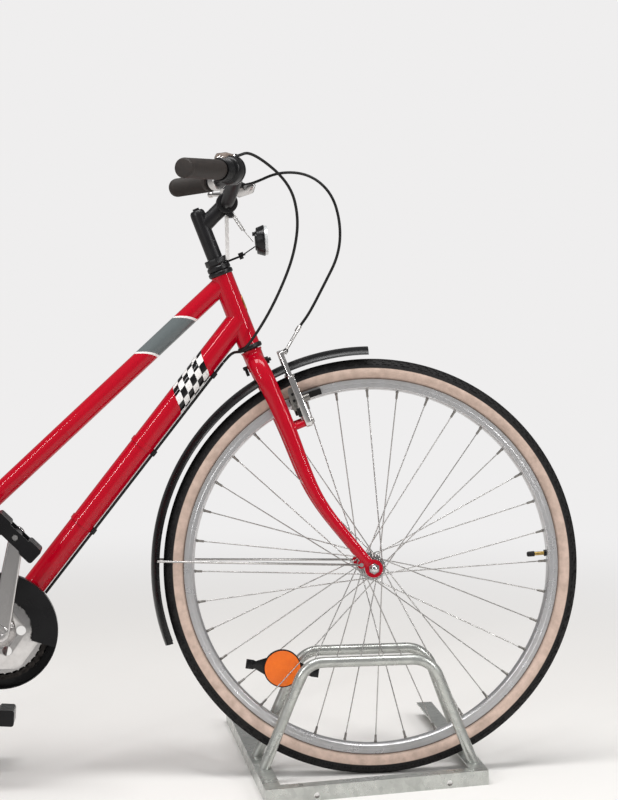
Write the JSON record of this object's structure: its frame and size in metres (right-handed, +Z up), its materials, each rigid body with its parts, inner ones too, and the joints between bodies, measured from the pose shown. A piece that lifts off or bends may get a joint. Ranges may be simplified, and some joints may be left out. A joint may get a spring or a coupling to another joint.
{
  "type": "city bicycle in a floor wheel rack",
  "caption": "Step-through city bicycle with mudguards, chain guard and carrier, standing with its front wheel in a floor rack.",
  "frame": {"origin": "on the floor, under the middle of the whole part's box", "axes": "+X forward along the wheels, +Y to the rider's left, +Z up"},
  "size_m": [1.796, 0.6608, 1.052],
  "materials": {
    "red_paint": "gloss",
    "black_paint": "satin",
    "black_plastic": "gloss",
    "black_rubber": "matte",
    "tyre_rubber": "matte",
    "rim_aluminium": "satin",
    "polished_aluminium": "polished",
    "stainless_steel": "satin",
    "galvanised_steel": "galvanised",
    "saddle_cover": "satin",
    "orange_reflector": "gloss",
    "clear_reflector": "gloss",
    "red_reflector": "gloss"
  },
  "bodies": {
    "front_end": {"rack_base": "galvanised_steel", "rack_hoop_near": "galvanised_steel", "rack_hoop_far": "galvanised_steel", "fork": "red_paint", "headset_locknut": "black_paint", "stem": "black_paint", "handlebar": "black_paint", "grip_left": "black_rubber", "grip_right": "black_rubber", "twist_shifter": "black_plastic", "brake_lever": "polished_aluminium", "brake_arm_right": "polished_aluminium", "brake_arm_left": "polished_aluminium", "brake_noodle": "stainless_steel", "brake_cable": "black_rubber", "gear_cable_loop": "black_rubber", "front_mudguard": "black_plastic", "front_mudguard_stays": "stainless_steel", "reflector_bracket": "black_plastic", "front_reflector": "black_plastic", "front_reflector_lens": "clear_reflector", "front_axle": "stainless_steel"},
    "front_wheel": {"front_tyre": "tyre_rubber", "front_rim": "rim_aluminium", "front_spokes": "stainless_steel", "front_hub": "polished_aluminium", "spoke_reflector_holder": "black_plastic", "spoke_reflector": "orange_reflector"},
    "frame": {"head_tube": "red_paint", "headset_cups": "black_paint", "top_tube": "red_paint", "down_tube": "red_paint", "seat_tube": "red_paint", "bottom_bracket_cups": "stainless_steel", "seatpost": "polished_aluminium", "saddle": "saddle_cover", "saddle_rails": "stainless_steel", "chain_stays": "red_paint", "seat_stays": "red_paint", "rear_axle": "stainless_steel", "rear_mudguard": "black_plastic", "rear_mudguard_stays": "stainless_steel", "rear_reflector": "red_reflector", "rear_carrier": "black_paint", "chain_guard": "black_plastic", "chain": "black_paint", "gear_cable_run": "black_rubber", "cable_clips": "black_plastic", "kickstand_mount": "black_paint"},
    "crankset": {"chainring": "polished_aluminium", "bb_axle": "stainless_steel", "right_crank": "polished_aluminium", "left_crank": "polished_aluminium"},
    "right_pedal": {"right_pedal": "black_plastic"},
    "left_pedal": {"left_pedal": "black_plastic"},
    "rear_wheel": {"rear_tyre": "tyre_rubber", "rear_rim": "rim_aluminium", "rear_spokes": "stainless_steel", "rear_hub": "polished_aluminium"},
    "kickstand": {"kickstand_leg": "black_paint"}
  },
  "joints": [
    {"name": "steering", "type": "hinge", "parent": "front_end", "child": "frame", "pos_m": [0.33027, -0.04905, 0.78421], "axis": [0.342, -0.0762, -0.9366], "range_deg": [-60, 60], "deforming": ["gear_cable_loop"]},
    {"name": "front_wheel_spin", "type": "hinge", "parent": "front_end", "child": "front_wheel", "pos_m": [0.54839, -0.08446, 0.34891], "axis": [0, 0.9967, -0.0811], "continuous": true},
    {"name": "rear_wheel_spin", "type": "hinge", "parent": "frame", "child": "rear_wheel", "pos_m": [-0.52221, -0.08446, 0.34891], "axis": [0, 0.9967, -0.0811], "continuous": true},
    {"name": "crank_spin", "type": "hinge", "parent": "frame", "child": "crankset", "pos_m": [-0.07521, -0.09135, 0.26419], "axis": [0, 0.9967, -0.0811], "continuous": true},
    {"name": "right_pedal_spin", "type": "hinge", "parent": "crankset", "child": "right_pedal", "pos_m": [-0.04175, -0.20981, 0.43593], "axis": [0, 0.9967, -0.0811], "continuous": true},
    {"name": "left_pedal_spin", "type": "hinge", "parent": "crankset", "child": "left_pedal", "pos_m": [-0.10867, 0.02712, 0.09245], "axis": [0, 0.9967, -0.0811], "continuous": true},
    {"name": "kickstand", "type": "hinge", "parent": "frame", "child": "kickstand", "pos_m": [-0.45161, 0.0005, 0.30789], "axis": [-0.1043, 0.9943, 0.0238], "range_deg": [0, 95]}
  ]
}
